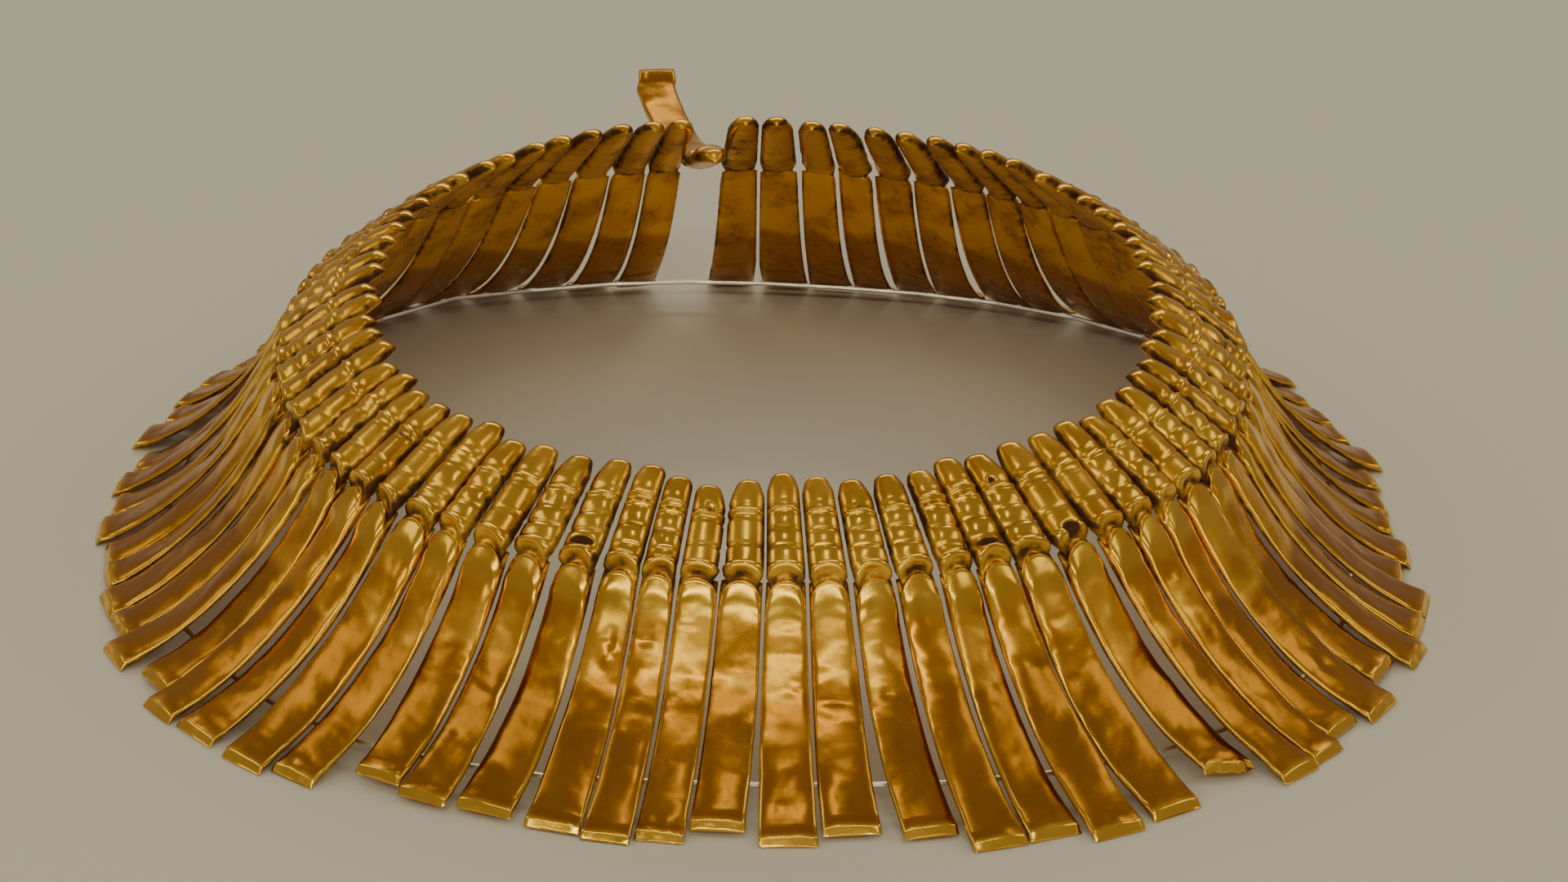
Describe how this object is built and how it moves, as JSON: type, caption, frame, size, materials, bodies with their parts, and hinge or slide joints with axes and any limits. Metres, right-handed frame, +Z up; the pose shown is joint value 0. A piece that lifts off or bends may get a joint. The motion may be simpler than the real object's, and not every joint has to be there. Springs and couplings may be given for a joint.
{
  "type": "gold necklace",
  "caption": "Ancient gold collar necklace of hollow sheet pendants with ridged heads and flared blades, standing open in a ring.",
  "frame": {"origin": "on the ground, under the middle of the bounding box", "axes": "+Z up, the front faces -Y, +X is to the right as seen from the front"},
  "size_m": [0.2252, 0.2356, 0.0498],
  "materials": {
    "sheet_gold": "worn old sheet gold, satin with bright ridges and red-brown dirt in the grooves",
    "support_wire": "plain pale wire"
  },
  "bodies": {
    "root": {"pendant_01": "sheet_gold", "pendant_02": "sheet_gold", "pendant_03": "sheet_gold", "pendant_04": "sheet_gold", "pendant_05": "sheet_gold", "pendant_06": "sheet_gold", "pendant_07": "sheet_gold", "pendant_08": "sheet_gold", "pendant_09": "sheet_gold", "pendant_10": "sheet_gold", "pendant_11": "sheet_gold", "pendant_12": "sheet_gold", "pendant_13": "sheet_gold", "pendant_14": "sheet_gold", "pendant_15": "sheet_gold", "pendant_16": "sheet_gold", "pendant_17": "sheet_gold", "pendant_18": "sheet_gold", "pendant_19": "sheet_gold", "pendant_20": "sheet_gold", "pendant_21": "sheet_gold", "pendant_22": "sheet_gold", "pendant_54": "sheet_gold", "pendant_55": "sheet_gold", "pendant_56": "sheet_gold", "pendant_57": "sheet_gold", "pendant_58": "sheet_gold", "pendant_59": "sheet_gold", "pendant_60": "sheet_gold", "pendant_61": "sheet_gold", "pendant_62": "sheet_gold", "pendant_63": "sheet_gold", "pendant_64": "sheet_gold", "pendant_65": "sheet_gold", "pendant_66": "sheet_gold", "pendant_67": "sheet_gold", "pendant_68": "sheet_gold", "pendant_69": "sheet_gold", "pendant_70": "sheet_gold", "pendant_71": "sheet_gold", "pendant_72": "sheet_gold", "pendant_73": "sheet_gold", "pendant_74": "sheet_gold", "pendant_pair_23_24": "sheet_gold", "pendant_pair_25_26": "sheet_gold", "pendant_pair_27_28": "sheet_gold", "pendant_pair_29_30": "sheet_gold", "pendant_pair_31_32": "sheet_gold", "pendant_pair_33_34": "sheet_gold", "pendant_pair_35_36": "sheet_gold", "pendant_pair_37_38": "sheet_gold", "pendant_pair_40_41": "sheet_gold", "pendant_pair_42_43": "sheet_gold", "pendant_pair_44_45": "sheet_gold", "pendant_pair_46_47": "sheet_gold", "pendant_pair_48_49": "sheet_gold", "pendant_pair_50_51": "sheet_gold", "pendant_pair_52_53": "sheet_gold", "raised_pendant_39": "sheet_gold", "support_wire": "support_wire"}
  },
  "joints": []
}
